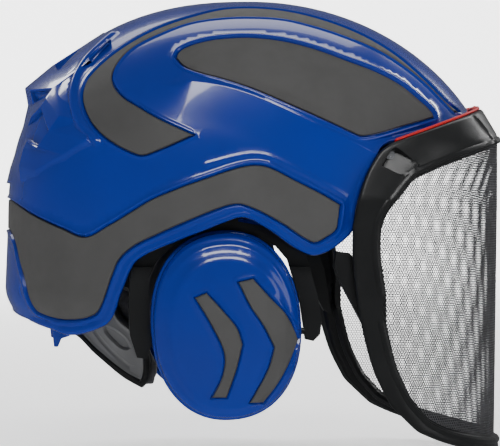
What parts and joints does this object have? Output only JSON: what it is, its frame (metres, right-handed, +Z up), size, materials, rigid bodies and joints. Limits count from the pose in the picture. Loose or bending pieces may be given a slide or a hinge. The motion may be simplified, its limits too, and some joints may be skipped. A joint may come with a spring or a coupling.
{
  "type": "forestry helmet",
  "caption": "Forestry helmet with a grey-inlaid glossy shell, tilting mesh visor, swinging ear muffs on forked yokes and a size-adjusting nape cradle.",
  "frame": {"origin": "centre of the headband, where the helmet is seated on a head", "axes": "+X forward through the visor, +Y to the wearer's left, +Z up through the crown"},
  "size_m": [0.3095, 0.2428, 0.2782],
  "materials": {
    "shell_blue": "glossy injection-moulded royal blue",
    "inlay_grey": "matt dark warm grey insert",
    "frame_black": "satin black moulding",
    "mesh_steel": "blackened etched steel mesh",
    "seal_red": "soft red sealing lip",
    "liner_dark": "dark grey inner shell",
    "webbing": "woven black webbing",
    "padding": "perforated black spacer fabric",
    "cushion_skin": "soft black vinyl skin",
    "foam": "open-cell acoustic foam",
    "cradle_grey": "mid-grey flexible moulding",
    "pin_steel": "ground steel"
  },
  "bodies": {
    "helmet": {"outer_shell": "shell_blue", "rear_vent_cover": "shell_blue", "side_inlay_right": "inlay_grey", "side_inlay_left": "inlay_grey", "crescent_inlay_right": "inlay_grey", "crescent_inlay_left": "inlay_grey", "front_inlay_right": "inlay_grey", "front_inlay_left": "inlay_grey", "rear_hook_right": "frame_black", "rear_hook_left": "frame_black", "inner_liner": "liner_dark", "headband": "frame_black", "sweatband": "padding", "crown_strap_long": "webbing", "crown_strap_cross": "webbing", "crown_pad": "padding", "strap_clip_front": "frame_black", "strap_clip_left": "frame_black", "strap_clip_rear": "frame_black", "strap_clip_right": "frame_black", "visor_rail_right": "frame_black", "visor_rail_left": "frame_black", "muff_bracket_right": "frame_black", "muff_bracket_left": "frame_black", "muff_hinge_pin_right": "pin_steel", "muff_hinge_pin_left": "pin_steel"},
    "visor_carriage": {"visor_slider_right": "frame_black", "visor_slider_left": "frame_black"},
    "visor": {"visor_frame": "frame_black", "visor_mesh": "mesh_steel", "brow_seal": "seal_red", "visor_guide_arm_right": "frame_black", "visor_guide_arm_left": "frame_black", "visor_pivot_pin_right": "pin_steel", "visor_pivot_pin_left": "pin_steel"},
    "muff_hanger_right": {"muff_hanger_right": "frame_black"},
    "muff_yoke_right": {"muff_yoke_right": "frame_black"},
    "cup_right": {"cup_shell_right": "shell_blue", "chevron_front_right": "inlay_grey", "chevron_rear_right": "inlay_grey", "cup_back_plate_right": "frame_black", "cup_cushion_right": "cushion_skin", "foam_insert_right": "foam"},
    "muff_hanger_left": {"muff_hanger_left": "frame_black"},
    "muff_yoke_left": {"muff_yoke_left": "frame_black"},
    "cup_left": {"cup_shell_left": "shell_blue", "chevron_front_left": "inlay_grey", "chevron_rear_left": "inlay_grey", "cup_back_plate_left": "frame_black", "cup_cushion_left": "cushion_skin", "foam_insert_left": "foam"},
    "nape_carriage": {"nape_cradle": "cradle_grey", "nape_pad": "padding", "knob_housing": "frame_black"},
    "size_knob": {"size_knob": "frame_black"}
  },
  "joints": [
    {"name": "visor_slide", "type": "slide", "parent": "helmet", "child": "visor_carriage", "axis": [1, 0, 0], "range_m": [0, 0.026]},
    {"name": "visor_tilt", "type": "hinge", "parent": "visor_carriage", "child": "visor", "pos_m": [0.088, 0, 0.042], "axis": [0, -1, 0], "range_deg": [0, 55]},
    {"name": "muff_swing_right", "type": "hinge", "parent": "helmet", "child": "muff_hanger_right", "pos_m": [-0.009, -0.1, 0.009], "axis": [-1, 0, 0], "range_deg": [-2, 4]},
    {"name": "muff_height_right", "type": "slide", "parent": "muff_hanger_right", "child": "muff_yoke_right", "axis": [0, 0, 1], "range_m": [-0.008, 0.002]},
    {"name": "cup_tilt_right", "type": "hinge", "parent": "muff_yoke_right", "child": "cup_right", "pos_m": [-0.01, -0.0945, -0.062], "axis": [-1, 0, 0], "range_deg": [-5, 5]},
    {"name": "muff_swing_left", "type": "hinge", "parent": "helmet", "child": "muff_hanger_left", "pos_m": [-0.009, 0.1, 0.009], "axis": [1, 0, 0], "range_deg": [-2, 4]},
    {"name": "muff_height_left", "type": "slide", "parent": "muff_hanger_left", "child": "muff_yoke_left", "axis": [0, 0, 1], "range_m": [-0.008, 0.002]},
    {"name": "cup_tilt_left", "type": "hinge", "parent": "muff_yoke_left", "child": "cup_left", "pos_m": [-0.01, 0.0945, -0.062], "axis": [1, 0, 0], "range_deg": [-5, 5]},
    {"name": "nape_slide", "type": "slide", "parent": "helmet", "child": "nape_carriage", "axis": [1, 0, 0], "range_m": [0, 0.012]},
    {"name": "size_knob_turn", "type": "hinge", "parent": "nape_carriage", "child": "size_knob", "pos_m": [-0.12, 0, -0.036], "axis": [-1, 0, 0], "range_deg": [0, 360]}
  ],
  "couplings": [
    {"joint": "visor_slide", "follows": "visor_tilt", "m_per_rad": 0.025},
    {"joint": "size_knob_turn", "follows": "nape_slide", "rad_per_m": 523.6}
  ]
}
